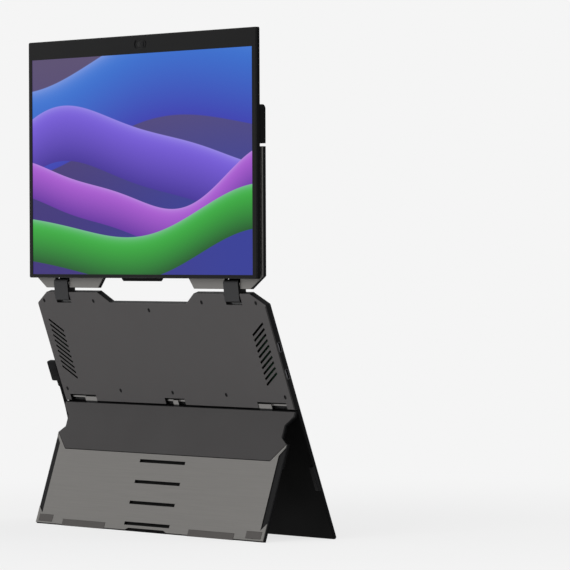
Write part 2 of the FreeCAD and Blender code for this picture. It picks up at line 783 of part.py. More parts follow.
def coil_point(t):
    # Centre line, t in quarter turns: the top layer winds in, the half turn
    # where the spiral reverses drops a layer, and the low layer winds out
    angle = math.radians(COIL_START - 90.0 * t)
    if t <= REVERSE:
        radius = COIL_OUTER - SHRINK * t
        height = COIL_LOW + COIL_STEP
    elif t < REVERSE + 2:
        past = t - REVERSE
        radius = COIL_INNER - SHRINK * past * (2 - past) / 2
        height = COIL_LOW + COIL_STEP * (1 + math.cos(math.pi * past / 2)) / 2
    else:
        radius = COIL_INNER + SHRINK * (t - REVERSE - 2)
        height = COIL_LOW
    return vec(COIL_X + radius * math.cos(angle), COIL_Y + radius * math.sin(angle), height)


def coil_heading(t):
    step = 1e-4
    low = max(t - step, 0)
    high = min(t + step, COIL_END)
    return (coil_point(high) - coil_point(low)).normalize()


def tangent_arc(start, corner, end):
    # Arc from start to end whose tangents meet at corner
    middle = (start + end) * 0.5
    reach = corner - start
    chord = end - start
    cosine = reach.dot(chord) / (reach.Length * chord.Length)
    top = middle + (corner - middle) * (cosine / (1 + cosine))
    return Part.Arc(start, top, end).toShape()


def biarc(start, heading, end, end_heading):
    span = end - start
    both = heading + end_heading
    spread = 2 * (1 - heading.dot(end_heading))
    lean = span.dot(both)
    reach = (math.sqrt(lean * lean + spread * span.dot(span)) - lean) / spread
    first = start + heading * reach
    second = end - end_heading * reach
    joint = (first + second) * 0.5
    return [tangent_arc(start, first, joint), tangent_arc(joint, second, end)]


def tube(edges, start, heading, radius):
    ring = Part.Wire([Part.makeCircle(radius, start, heading)])
    shell = Part.BRepOffsetAPI.MakePipeShell(Part.Wire(edges))
    shell.add(ring)
    shell.build()
    shell.makeSolid()
    return shell.shape()


COIL_IN = coil_point(0) - coil_heading(0) * CORD_D
COIL_OUT = coil_point(COIL_END) + coil_heading(COIL_END) * CORD_D


def cord_coil():
    edges = [Part.LineSegment(COIL_IN, coil_point(0)).toShape()]
    for i in range(int(COIL_END)):
        edges += biarc(coil_point(i), coil_heading(i), coil_point(i + 1), coil_heading(i + 1))
    edges.append(Part.LineSegment(coil_point(COIL_END), COIL_OUT).toShape())
    length = sum(edge.Length for edge in edges)
    print("coil length", round(length, 1), "least gap", round(coil_gap(edges), 2))
    return tube(edges, COIL_IN, coil_heading(0), CORD_R), length


def coil_gap(edges):
    samples = []
    run = 0.0
    for edge in edges:
        points = edge.discretize(7)[:-1]
        for i, point in enumerate(points):
            samples.append((run + edge.Length * i / len(points), point))
        run += edge.Length
    apart = [p.distanceToPoint(q) for s, p in samples for t, q in samples if t - s > 8 * CORD_D]
    return min(apart) - CORD_D


def panel_side(x, v, w):
    y, z = panel_point(v, w)
    return vec(x, y, z)


RELIEF_OUT = panel_side(CORD_X, RELIEF_END, LOWER_AXIS_W)
CORD_ROUTE = [RELIEF_OUT, panel_side(CORD_X, 112.0, LOWER_AXIS_W), vec(-185.2, 5.8, 93.0),
              vec(-186.2, 10.9, 72.0), vec(-186.9, 19.0, 49.5), vec(-187.0, 31.0, 28.0),
              vec(-186.8, 39.5, 13.8), vec(-185.6, 47.0, 5.6), vec(-182.2, 56.5, 2.9),
              vec(-178.0, 64.5, 4.0), COIL_IN - coil_heading(0) * 9.0, COIL_IN]
# The end leaves the coil's far side and its plug lies beside it
END_TURN = COIL_OUT + coil_heading(COIL_END) * 8.0
END_ROUTE = [COIL_OUT, END_TURN, END_TURN + vec(11.0, 1.0, 0), END_TURN + vec(21.0, 0.0, 0)]


def route_tube(name, route):
    # Straight runs joined by tangent arcs, each as large as its runs allow
    edges = []
    here = route[0]
    radii = []
    for i in range(1, len(route) - 1):
        before = route[i - 1] - route[i]
        after = route[i + 1] - route[i]
        half_turn = (math.pi - before.getAngle(after)) / 2
        cutback = 0.45 * min(before.Length, after.Length)
        radii.append(round(cutback / math.tan(half_turn), 1))
        first = route[i] + before.normalize() * cutback
        second = route[i] + after.normalize() * cutback
        edges.append(Part.LineSegment(here, first).toShape())
        edges.append(tangent_arc(first, route[i], second))
        here = second
    edges.append(Part.LineSegment(here, route[-1]).toShape())
    length = sum(edge.Length for edge in edges)
    solid = tube(edges, route[0], (route[1] - route[0]).normalize(), CORD_R)
    share = solid.Volume / (math.pi * CORD_R ** 2 * length)
    print(name, "length", round(length, 1), "radii", radii, "volume share", round(share, 4))
    return solid, length


TIE_HALF = 5.0
TIE_WALL = 0.9


def cord_tie():
    low = COIL_INNER - CORD_R - 1.2
    high = COIL_OUTER + CORD_R + 0.5
    top = COIL_LOW + COIL_STEP + CORD_R + 0.4
    outer = box(low - TIE_WALL, high + TIE_WALL, -TIE_HALF, TIE_HALF, 0, top + TIE_WALL)
    band = outer.cut(box(low, high, -TIE_HALF, TIE_HALF, 0.8, top))
    band.translate(vec(COIL_X, COIL_Y, 0))
    return band


FAR_BODY = (6.0, 21.0, 12.0, 6.0)
FAR_RELIEF = 6.0


def at_cord_end(shape):
    # Pieces of the far plug are drawn along +x from the cord's end
    run = END_ROUTE[-1] - END_ROUTE[-2]
    shape.rotate(vec(0, 0, 0), vec(0, 0, 1), math.degrees(math.atan2(run.y, run.x)))
    shape.translate(END_ROUTE[-1])
    return shape


def far_plug():
    start, length, width, height = FAR_BODY
    body = box(start, start + length, -width / 2, width / 2, -height / 2, height / 2)
    ends = [e for e in body.Edges if abs(e.Vertexes[1].Point.x - e.Vertexes[0].Point.x) > 1]
    body = body.makeFillet(1.6, ends)
    relief = Part.makeCone(2.1, 2.7, FAR_RELIEF, vec(0, 0, 0), vec(1, 0, 0))
    return at_cord_end(body.fuse(relief))


def far_plug_tip():
    start, length = FAR_BODY[:2]
    tip = plug_tip(6.5)
    tip.translate(vec(start + length, 0, 0))
    return at_cord_end(tip)


# Every node, drawn and put in its place
def save(name, shape):
    parts[name] = shape
    shape.exportStep("parts/" + name + ".step")


def save_pair(name, right, mover):
    save(name + "_right", mover(right))
    save(name + "_left", mover(flip_x(right)))


def make_back_panel():
    save("rear_cover", on_panel(rear_cover()))
    save("support_plate", above_floor(on_panel(support_plate())))
    save("lower_cover", above_floor(on_panel(lower_cover())))
    save("base_strip", above_floor(on_panel(base_strip())))
    save("case_screws", on_panel(group([case_screw(x, y) for x, y in CASE_SCREWS])))
    save("main_board", on_panel(main_board()))
    save("board_chips", on_panel(board_chips()))
    save("side_bumpers", on_panel(group(pair(side_bumper()))))
    save("vent_meshes", on_panel(group(pair(vent_mesh()))))
    save_pair("lower_hinge_bracket", lower_hinge_bracket(), on_panel)
    save("lower_axles", on_panel(group(pair(hinge_axle(LOWER_AXIS_V, LOWER_AXIS_W, 18.5)))))
    save("lower_washers", on_panel(group(washers(LOWER_AXIS_V, LOWER_AXIS_W))))
    save("usb_socket_upper", on_panel(usb_socket(1, RIGHT_SOCKETS[0])))
    save("usb_socket_lower", on_panel(usb_socket(1, RIGHT_SOCKETS[1])))
    save("usb_socket_left", on_panel(usb_socket(-1, LEFT_SOCKET)))
    leaf = kick_leaf(HINGE_IN + LEAF_GAP, HINGE_IN + LEAF_GAP, HINGE_BLOCK - LEAF_GAP,
                     HINGE_OUT - LEAF_GAP)
    save_pair("kick_leaf", leaf, on_panel)
    reach = CENTRE_RECESS - LEAF_GAP
    save("kick_leaf_centre", on_panel(kick_leaf(-reach, -CENTRE_BLOCK, CENTRE_BLOCK, reach)))
    caps = pair(kick_leaf_cap(HINGE_IN + LEAF_GAP, HINGE_IN + LEAF_GAP, HINGE_BLOCK - LEAF_GAP,
                              HINGE_OUT - LEAF_GAP))
    caps.append(kick_leaf_cap(-reach, -CENTRE_BLOCK, CENTRE_BLOCK, reach))
    save("kick_leaf_caps", on_panel(group(caps)))
    pins = pair(kick_pin(HINGE_IN - 5.5, HINGE_BLOCK + 5.5))
    pins.append(kick_pin(-CENTRE_BLOCK - 5.5, CENTRE_BLOCK + 5.5))
    save("kick_pins", on_panel(group(pins)))


def make_kickstand():
    save("kick_tray", above_floor(on_kickstand(kick_tray())))
    save("kick_upper_panel", on_kickstand(kick_upper_panel()))
    save("kick_lower_plate", above_floor(on_kickstand(kick_lower_plate())))
    save_pair("kick_side_strip", kick_side_strip(), on_kickstand)
    save("wide_foot_pads", above_floor(on_kickstand(group(pair(wide_pad())))))
    save("small_foot_pads", on_kickstand(group(pair(small_pad()))))
    save("kick_screws", on_kickstand(group([kick_screw(x, y) for x, y in KICK_SCREWS])))


def make_links():
    save_pair("link", link(), on_links)


def make_riser():
    save("riser_front", on_display(riser_front()))
    save("riser_back", on_display(riser_back()))
    save("ribbon_cable", on_display(ribbon_cable()))
    axle = hinge_axle(UPPER_AXIS_V, UPPER_AXIS_D, 15.8)
    save("upper_axles", on_display(group(pair(axle))))
    save("upper_washers", on_display(group(washers(UPPER_AXIS_V, UPPER_AXIS_D))))
    screws = [back_screw(x, y, RISER_BACK) for x, y in RISER_SCREWS]
    save("riser_screws", on_display(group(screws)))
    save("tilt_leaves_lower", on_display(group(pair(tilt_leaf_lower()))))
    save("tilt_pins", on_display(group(pair(tilt_pin()))))


def make_display():
    save("display_bezel", on_display(display_bezel()))
    save("display_shell", on_display(display_shell()))
    save("lcd_module", on_display(lcd_module()))
    save("screen", on_display(screen()))
    save("display_driver", on_display(display_driver()))
    save("camera_module", on_display(camera_module()))
    save("webcam_lens", on_display(webcam_lens()))
    save("webcam_shutter", on_display(webcam_shutter()))
    save("rear_mount", on_display(rear_mount()))
    screws = [back_screw(x, y, RISER_BACK) for x, y in MOUNT_SCREWS]
    save("mount_screws", on_display(group(screws)))
    save("tilt_leaves_upper", on_display(group(pair(tilt_leaf_upper()))))
    save("pull_lip", on_display(pull_lip()))


def make_cord():
    save("side_plug", on_panel(side_plug()))
    save("side_plug_tip", on_panel(side_plug_tip()))
    save("side_relief", on_panel(side_relief()))
    run, run_length = route_tube("cord", CORD_ROUTE)
    save("cord", run)
    coil, coil_length = cord_coil()
    save("cord_coil", coil)
    tail, tail_length = route_tube("cord_end", END_ROUTE)
    save("cord_end", tail)
    save("cord_tie", cord_tie())
    save("far_plug", far_plug())
    save("far_plug_tip", far_plug_tip())
    print("cord length", round(run_length + coil_length + tail_length, 1))


os.makedirs("parts", exist_ok=True)
make_back_panel()
make_kickstand()
make_links()
make_riser()
make_display()
make_cord()
print("display front y", round(DISPLAY_Y, 2), "bottom z", round(DISPLAY_Z, 2))
print("axes: lower", LOWER_AXIS, "upper", UPPER_AXIS, "kick", KICK_AXIS)
for name, shape in parts.items():
    bad = [s for s in shape.Solids if not s.isValid()]
    b = shape.BoundBox
    print("%-24s solids %2d %s  %7.1f %7.1f %7.1f  %7.1f %7.1f %7.1f" % (
        name, len(shape.Solids), "BAD" if bad else "ok", b.XMin, b.YMin, b.ZMin,
        b.XMax, b.YMax, b.ZMax))
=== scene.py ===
# %% [markdown]
# # A screen extender, dressed in Blender
# The solids come packed from CAD. This lesson adds the camera, the light, the
# cord, the finishes and the small repeated pieces. Every piece ends up in
# metres, in the CAD frame: +Z is up and the lit screen faces -Y.

# %% Load the frame
import json
import math

import bmesh
import bpy
from mathutils import Matrix, Vector


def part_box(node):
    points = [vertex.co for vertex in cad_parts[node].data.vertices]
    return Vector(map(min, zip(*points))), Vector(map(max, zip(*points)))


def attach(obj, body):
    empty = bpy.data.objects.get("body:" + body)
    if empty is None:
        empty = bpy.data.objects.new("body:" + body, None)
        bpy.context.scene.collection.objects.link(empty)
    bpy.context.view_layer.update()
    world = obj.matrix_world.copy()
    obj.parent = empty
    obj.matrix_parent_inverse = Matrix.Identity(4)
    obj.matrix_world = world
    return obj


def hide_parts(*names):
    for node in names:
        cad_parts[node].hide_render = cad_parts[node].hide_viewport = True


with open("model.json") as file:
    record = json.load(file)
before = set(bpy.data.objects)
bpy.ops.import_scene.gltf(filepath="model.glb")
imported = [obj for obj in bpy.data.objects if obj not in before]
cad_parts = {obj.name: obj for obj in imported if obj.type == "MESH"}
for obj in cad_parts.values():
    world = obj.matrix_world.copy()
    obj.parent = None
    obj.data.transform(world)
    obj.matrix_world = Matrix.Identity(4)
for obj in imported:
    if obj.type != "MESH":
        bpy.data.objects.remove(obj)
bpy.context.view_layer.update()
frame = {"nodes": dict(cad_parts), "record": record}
nodes = frame["nodes"]
record = frame["record"]
scene = bpy.context.scene
MM = 0.001


# %% [markdown]
# The camera stands a long way off with a long lens, so the panel's edges stay
# almost parallel. A camera looks along its own -Z, so its three axes are
# written straight into its matrix instead of being found from angles.

# %% Camera
VIEW_AZIMUTH = math.radians(54.83)
VIEW_ELEVATION = math.radians(0.48)
VIEW_ROLL = math.radians(-0.25)
VIEW_DISTANCE = 4.07987
AIM_ACROSS = 0.03755
AIM_UP = 0.21254
AIM_ORIGIN = Vector((0, 0.06702, 0.0012))
FOCAL_PIXELS = 4637.74
IMAGE_PIXELS = 570
SENSOR_WIDTH = 36.0

level = math.cos(VIEW_ELEVATION)
backward = Vector((math.sin(VIEW_AZIMUTH) * level, -math.cos(VIEW_AZIMUTH) * level,
                   math.sin(VIEW_ELEVATION)))
rightward = Vector((math.cos(VIEW_AZIMUTH), math.sin(VIEW_AZIMUTH), 0))
skyward = backward.cross(rightward)
across = rightward * math.cos(VIEW_ROLL) + skyward * math.sin(VIEW_ROLL)
upward = skyward * math.cos(VIEW_ROLL) - rightward * math.sin(VIEW_ROLL)

camera_data = bpy.data.cameras.new("camera")
camera_data.sensor_width = SENSOR_WIDTH
camera_data.lens = FOCAL_PIXELS / IMAGE_PIXELS * SENSOR_WIDTH
camera_data.clip_end = 60
camera = bpy.data.objects.new("camera", camera_data)
scene.collection.objects.link(camera)
stand = backward * VIEW_DISTANCE + across * AIM_ACROSS + upward * AIM_UP + AIM_ORIGIN
turn = Matrix((across, upward, backward)).transposed().to_4x4()
camera.matrix_world = Matrix.Translation(stand) @ turn
scene.camera = camera
print("lens", round(camera_data.lens, 1), "mm, camera height", round(stand.z, 3))


# %% [markdown]
# The back panel leans, so places on it are given as x across, v up the slope
# and w out of its rear face. The first function turns such a place into the
# frame, and the second gives the whole turned set of axes there.

# %% Places on the leaning panel
LEAN = math.radians(18.7)
BASE_Y = 34.45
BASE_Z = 1.2


def panel_point(x, v, w):
    y = BASE_Y - v * math.sin(LEAN) - w * math.cos(LEAN)
    z = BASE_Z + v * math.cos(LEAN) - w * math.sin(LEAN)
    return Vector((x, y, z)) * MM


def panel_frame(x, v, w):
    up_slope = Vector((0, -math.sin(LEAN), math.cos(LEAN)))
    outward = Vector((0, -math.cos(LEAN), -math.sin(LEAN)))
    turned = Matrix((Vector((1, 0, 0)), up_slope, outward)).transposed().to_4x4()
    return Matrix.Translation(panel_point(x, v, w)) @ turned


# %% [markdown]
# The cord leaves a plug on the panel's left edge, falls behind the kickstand
# and is tied in a flat coil. A NURBS curve takes the route's few points and
# the coil's many, and draws one smooth line that follows them.

# %% Cord route
CORD_DIAMETER = 3.6
CORD_X = -184.3
RELIEF_TOP_V = 132.5
RELIEF_END_V = 127.6
SOCKET_W = -3.0
COIL_X = -148.0
COIL_Y = 86.0
COIL_LOW = 3.0
COIL_STEP = 4.1
COIL_INNER = 15.0
REVERSE = 11
SHRINK = COIL_STEP / 4
COIL_OUTER = COIL_INNER + SHRINK * REVERSE
COIL_END = 2 * REVERSE + 3
POINTS_A_QUARTER = 3
SIDE_RUN_V = 112.0
LEAD_IN = 9.0
END_RUN = 8.0
END_STEPS = ((11.0, 1.0, 0), (21.0, 0, 0))


def coil_point(t):
    # t counts quarter turns: in on the top layer, over, and out on the low one
    angle = math.radians(180 - 90 * t)
    if t <= REVERSE:
        radius = COIL_OUTER - SHRINK * t
        height = COIL_LOW + COIL_STEP
    elif t < REVERSE + 2:
        past = t - REVERSE
        radius = COIL_INNER - SHRINK * past * (2 - past) / 2
        height = COIL_LOW + COIL_STEP * (1 + math.cos(math.pi * past / 2)) / 2
    else:
        radius = COIL_INNER + SHRINK * (t - REVERSE - 2)
        height = COIL_LOW
    return Vector((COIL_X + radius * math.cos(angle), COIL_Y + radius * math.sin(angle),
                   height)) * MM


def coil_heading(t, step):
    return ((coil_point(t + step) - coil_point(t)) / step).normalized()


start_heading = coil_heading(0, 1e-3)
end_heading = coil_heading(COIL_END, -1e-3)
coil_in = coil_point(0) - start_heading * CORD_DIAMETER * MM
coil_out = coil_point(COIL_END) + end_heading * CORD_DIAMETER * MM
end_turn = coil_out + end_heading * END_RUN * MM
cord_exit = panel_point(CORD_X, RELIEF_END_V, SOCKET_W)
fall = [(-185.2, 5.8, 93.0), (-186.2, 10.9, 72.0), (-186.9, 19.0, 49.5), (-187.0, 31.0, 28.0),
        (-186.8, 39.5, 13.8), (-185.6, 47.0, 5.6), (-182.2, 56.5, 2.9), (-178.0, 64.5, 4.0)]
route = [cord_exit, panel_point(CORD_X, SIDE_RUN_V, SOCKET_W)]
route += [Vector(p) * MM for p in fall]
route += [coil_in - start_heading * LEAD_IN * MM, coil_in]
route += [coil_point(i / POINTS_A_QUARTER) for i in range(COIL_END * POINTS_A_QUARTER + 1)]
route += [coil_out, end_turn]
route += [end_turn + Vector(step) * MM for step in END_STEPS]
cord_end = route[-1]
cord_end_heading = (route[-1] - route[-2]).normalized()

cord_curve = bpy.data.curves.new("cord_line", "CURVE")
cord_curve.dimensions = "3D"
cord_curve.bevel_depth = CORD_DIAMETER / 2 * MM
cord_curve.bevel_resolution = 4
cord_curve.resolution_u = 6
cord_curve.use_fill_caps = True
line = cord_curve.splines.new("NURBS")
line.points.add(len(route) - 1)
for point, place in zip(line.points, route):
    point.co = (*place, 1)
line.order_u = 3
line.use_endpoint_u = True
cord_piece = bpy.data.objects.new("cord_run", cord_curve)
scene.collection.objects.link(cord_piece)
print("cord control points", len(route))


# %% [markdown]
# Shader trees are built by small helpers. The first adds a node and links or
# sets its inputs, and the others do one step of arithmetic, mix two colours,
# stretch a range or start a group, so that each finish stays short.

# %% Node helpers
def add(tree, kind, inputs=None, **settings):
    made = tree.nodes.new(kind)
    for name, value in settings.items():
        setattr(made, name, value)
    for key, value in (inputs or {}).items():
        if isinstance(value, bpy.types.NodeSocket):
            tree.links.new(value, made.inputs[key])
        else:
            made.inputs[key].default_value = value
    return made


def calc(tree, operation, *values):
    return add(tree, "ShaderNodeMath", dict(enumerate(values)), operation=operation).outputs[0]


def blend_colour(tree, share, first, second):
    made = add(tree, "ShaderNodeMix", {0: share, 6: first, 7: second}, data_type="RGBA")
    return made.outputs[2]


def between(tree, value, low, high, to_low=0.0, to_high=1.0):
    return add(tree, "ShaderNodeMapRange", {0: value, 1: low, 2: high, 3: to_low, 4: to_high},
               interpolation_type="SMOOTHSTEP").outputs[0]


NOISE_LOW = 0.3
NOISE_HIGH = 0.7


def from_noise(tree, noise, to_low, to_high):
    # Most of a noise lies between these two values, and they become the new range's ends
    return add(tree, "ShaderNodeMapRange", {0: noise, 1: NOISE_LOW, 2: NOISE_HIGH, 3: to_low,
                                            4: to_high}).outputs[0]


def tone(red, green, blue):
    # A colour as a screen shows it, 0 to 255, made linear for the shader
    return tuple(((c / 255 + 0.055) / 1.055) ** 2.4 if c > 10 else c / 255 / 12.92
                 for c in (red, green, blue)) + (1.0,)


def start_group(name, sockets, outputs):
    tree = bpy.data.node_groups.new(name, "ShaderNodeTree")
    for label, kind, value in sockets:
        made = tree.interface.new_socket(label, in_out="INPUT", socket_type=kind)
        made.default_value = value
    for label, kind in outputs:
        tree.interface.new_socket(label, in_out="OUTPUT", socket_type=kind)
    return tree, tree.nodes.new("NodeGroupInput").outputs, tree.nodes.new("NodeGroupOutput")


FLOAT = "NodeSocketFloat"
COLOUR = "NodeSocketColor"
VECTOR = "NodeSocketVector"


# %% [markdown]
# The grey plates are thin and lie on black parts: only the face towards the
# screen's side is grey. The sides and tops get a near-black colour, partly the
# black body beneath and partly painted shade for the shadow that falls on them.
# This group compares the surface's own direction with -Y and picks one of two colours.

# %% Plate face and painted side shade group
# How nearly a surface has to face -Y for the grey to begin and to be full
GREY_BEGINS = 0.6
GREY_FULL = 0.78


def facing_shade_group():
    tree, given, result = start_group(
        "plate_face_side_shade",
        [("Face", COLOUR, (0.1, 0.1, 0.1, 1)), ("Side", COLOUR, (0.1, 0.1, 0.1, 1))],
        [("Colour", COLOUR)])
    direction = add(tree, "ShaderNodeTexCoord").outputs["Normal"]
    toward = add(tree, "ShaderNodeVectorMath", {0: direction, 1: (0, -1, 0)},
                 operation="DOT_PRODUCT").outputs["Value"]
    share = between(tree, toward, GREY_BEGINS, GREY_FULL)
    tree.links.new(blend_colour(tree, share, given["Side"], given["Face"]), result.inputs[0])
    return tree


FACING_SHADE_GROUP = facing_shade_group()


def facing_shade_colour(tree, given):
    colours = {"Face": given["Colour"], "Side": given["Side Colour"]}
    return add(tree, "ShaderNodeGroup", colours, node_tree=FACING_SHADE_GROUP).outputs[0]


# %% [markdown]
# Moulded plastic has a fine grain, patches that are a little smoother or
# rougher, and corners that have been rubbed paler. Those three effects are
# one group, and each plastic in the object only changes its numbers.

# %% Moulded surface group
WEAR_BEGINS = 0.01
WEAR_FULL = 0.12
PATCH_GAIN = 4.0


def moulded_group():
    tree, given, result = start_group(
        "moulded_surface",
        [("Colour", COLOUR, (0.1, 0.1, 0.1, 1)), ("Side Colour", COLOUR, (0.1, 0.1, 0.1, 1)),
         ("Edge Colour", COLOUR, (0.2, 0.2, 0.2, 1)),
         ("Edge Share", FLOAT, 0.5), ("Grain Scale", FLOAT, 2500.0), ("Grain Depth", FLOAT, 0.25),
         ("Rough Low", FLOAT, 0.4), ("Rough High", FLOAT, 0.6), ("Mottle", FLOAT, 0.05)],
        [("Colour", COLOUR), ("Roughness", FLOAT), ("Normal", VECTOR)])
    place = add(tree, "ShaderNodeTexCoord").outputs["Object"]
    grain = add(tree, "ShaderNodeTexNoise", {"Vector": place, "Scale": given["Grain Scale"],
                                             "Detail": 2.0}).outputs[0]
    patches = add(tree, "ShaderNodeTexNoise", {"Vector": place, "Scale": 17.0,
                                               "Detail": 4.0}).outputs[0]
    soft = add(tree, "ShaderNodeBevel", {"Radius": 0.0005}, samples=4).outputs[0]
    flat = add(tree, "ShaderNodeNewGeometry").outputs["Normal"]
    facing = add(tree, "ShaderNodeVectorMath", {0: soft, 1: flat}, operation="DOT_PRODUCT")
    turned = calc(tree, "SUBTRACT", 1.0, facing.outputs["Value"])
    edge = between(tree, turned, WEAR_BEGINS, WEAR_FULL)
    worn = calc(tree, "MULTIPLY", edge, given["Edge Share"])
    swing = calc(tree, "MULTIPLY", calc(tree, "SUBTRACT", patches, 0.5), given["Mottle"])
    level_up = calc(tree, "MULTIPLY_ADD", swing, PATCH_GAIN, 1.0)
    body = add(tree, "ShaderNodeVectorMath", {0: facing_shade_colour(tree, given), "Scale": level_up},
               operation="SCALE").outputs[0]
    bump = add(tree, "ShaderNodeBump", {"Height": grain, "Strength": given["Grain Depth"],
                                        "Distance": 0.0001, "Normal": soft}).outputs[0]
    rough = from_noise(tree, patches, given["Rough Low"], given["Rough High"])
    tree.links.new(blend_colour(tree, worn, body, given["Edge Colour"]), result.inputs[0])
    tree.links.new(rough, result.inputs[1])
    tree.links.new(bump, result.inputs[2])
    return tree


MOULDED = moulded_group()


# %% [markdown]
# Rolled and brushed metal has long faint lines. A noise that is stretched
# along x gives them, and it drives the roughness and a very shallow bump.

# %% Rolled metal group
def rolled_group():
    tree, given, result = start_group(
        "rolled_metal",
        [("Colour", COLOUR, (0.5, 0.5, 0.5, 1)), ("Side Colour", COLOUR, (0.5, 0.5, 0.5, 1)),
         ("Line Scale", FLOAT, 900.0), ("Line Depth", FLOAT, 0.08), ("Rough Low", FLOAT, 0.3),
         ("Rough High", FLOAT, 0.45)],
        [("Colour", COLOUR), ("Roughness", FLOAT), ("Normal", VECTOR)])
    place = add(tree, "ShaderNodeTexCoord").outputs["Object"]
    drawn = add(tree, "ShaderNodeMapping", {"Vector": place, "Scale": (0.02, 1.0, 1.0)})
    lines = add(tree, "ShaderNodeTexNoise", {"Vector": drawn.outputs[0],
                                             "Scale": given["Line Scale"],
                                             "Detail": 3.0}).outputs[0]
    soft = add(tree, "ShaderNodeBevel", {"Radius": 0.0003}, samples=4).outputs[0]
    bright = from_noise(tree, lines, 0.94, 1.06)
    body = add(tree, "ShaderNodeVectorMath", {0: facing_shade_colour(tree, given), "Scale": bright},
               operation="SCALE").outputs[0]
    bump = add(tree, "ShaderNodeBump", {"Height": lines, "Strength": given["Line Depth"],
                                        "Distance": 0.00005, "Normal": soft}).outputs[0]
    rough = from_noise(tree, lines, given["Rough Low"], given["Rough High"])
    tree.links.new(body, result.inputs[0])
    tree.links.new(rough, result.inputs[1])
    tree.links.new(bump, result.inputs[2])
    return tree


ROLLED = rolled_group()


# %% [markdown]
# Every finish but the lit screen is a Principled shader fed by one of the two
# groups. Anything that is the same all over, such as the coat, is set on the
# shader itself.

# %% Materials for every slot
def make_material(name, group, values, **shader_values):
    material = bpy.data.materials.new(name)
    material.use_nodes = True
    tree = material.node_tree
    shader = tree.nodes["Principled BSDF"]
    finish = add(tree, "ShaderNodeGroup", node_tree=group)
    for key, value in values.items():
        finish.inputs[key.replace("_", " ")].default_value = value
    tree.links.new(finish.outputs["Colour"], shader.inputs["Base Color"])
    tree.links.new(finish.outputs["Roughness"], shader.inputs["Roughness"])
    tree.links.new(finish.outputs["Normal"], shader.inputs["Normal"])
    for key, value in shader_values.items():
        shader.inputs[key.replace("_", " ")].default_value = value
    return material


def plastic(name, colour, edge, low, high, share=0.5, grain=0.25, side=None, **shader_values):
    return make_material(name, MOULDED, {
        "Colour": tone(*colour), "Side_Colour": tone(*(side or colour)),
        "Edge_Colour": tone(*edge), "Edge_Share": share, "Grain_Depth": grain,
        "Rough_Low": low, "Rough_High": high}, **shader_values)


def metal(name, colour, low, high, metallic=1.0, depth=0.08, side=None, **shader_values):
    return make_material(name, ROLLED, {
        "Colour": tone(*colour), "Side_Colour": tone(*(side or colour)), "Line_Depth": depth,
        "Rough_Low": low, "Rough_High": high}, Metallic=metallic, **shader_values)


# Colour for faces turned away from -Y: partly the black body, partly painted shade
SIDE_BODY_AND_SHADE = (4, 4, 5)
DULL = {"Specular_IOR_Level": 0.08}
SOFT = {"Specular_IOR_Level": 0.25}
finishes = {
    "case_grey": plastic("satin_case_grey", (83, 81, 81), (110, 108, 107), 0.46, 0.54, 0.35, 0.15,
                         side=SIDE_BODY_AND_SHADE, **DULL),
    "plate_alu": metal("dark_anodised_sheet", (14, 14, 15), 0.42, 0.52, 0.2, **DULL),
    "dark_panel": plastic("matt_dark_panel", (58, 56, 56), (76, 74, 73), 0.5, 0.6, 0.3,
                          side=SIDE_BODY_AND_SHADE, **SOFT),
    "light_plate": metal("warm_grey_sheet", (127, 125, 122), 0.46, 0.56, 0.45, 0.05,
                         side=SIDE_BODY_AND_SHADE, **SOFT),
    # Black plastic, with its faces towards -Y toned darker than its sides: painted shade for the
    # shadow they lie in
    "black_plastic": plastic("moulded_black_shaded_face", (1, 1, 1), (30, 30, 32), 0.5, 0.6, 0.3,
                             side=(8, 8, 9), Specular_IOR_Level=0.04),
    "bezel_black": plastic("satin_bezel", (12, 12, 13), (48, 48, 51), 0.34, 0.42, 0.5, 0.1,
                           **DULL),
    "link_metal": plastic("painted_link", (56, 56, 57), (70, 70, 70), 0.4, 0.5, 0.3, 0.2,
                          side=SIDE_BODY_AND_SHADE, **DULL),
    "hinge_steel": metal("satin_hinge_steel", (132, 130, 128), 0.3, 0.42),
    "screw_steel": metal("blackened_screw", (24, 24, 25), 0.35, 0.45, 0.5, **DULL),
    "rubber": plastic("grey_foot_rubber", (90, 87, 85), (100, 97, 95), 0.7, 0.85, 0.2, 0.6,
                      side=SIDE_BODY_AND_SHADE, **SOFT),
    "cord_rubber": plastic("black_cord_jacket", (14, 14, 15), (26, 26, 27), 0.55, 0.7, 0.2, 0.4,
                           **DULL),
    "pcb": plastic("solder_mask", (20, 78, 48), (60, 110, 80), 0.3, 0.45, 0.3, 0.1),
    "chip": plastic("chip_epoxy", (34, 34, 35), (60, 60, 60), 0.55, 0.7, 0.3, 0.5),
    "mesh": plastic("black_mesh_wire", (10, 10, 11), (20, 20, 21), 0.5, 0.65, 0.2, **DULL),
    # The plated shell is toned far darker than bright plating: painted shade for the socket's deep
    # opening
    "socket_steel": metal("plated_shell_painted_dark", (96, 96, 99), 0.28, 0.38),
    "lcd_stack": plastic("panel_stack", (52, 53, 56), (90, 90, 92), 0.25, 0.35, 0.3, 0.1),
    "lens_glass": plastic("dark_lens", (6, 6, 8), (12, 12, 16), 0.1, 0.14, 0.2, 0.0,
                          Coat_Weight=0.1, Coat_Roughness=0.05, Specular_IOR_Level=0.1),
    "flex": plastic("amber_flat_cable", (176, 118, 42), (190, 140, 70), 0.35, 0.5, 0.2, 0.1),
    "tie_fabric": plastic("black_strap", (22, 22, 23), (40, 40, 41), 0.85, 0.95, 0.2, 0.9,
                          Sheen_Weight=0.4),
}
print("finishes", len(finishes))


# %% [markdown]
# The lit screen needs a picture. This one is made from rules only: soft wavy
# ribbons laid over a dark gradient. A ribbon is a band around a sum of two
# sines, so five numbers place and shape it.

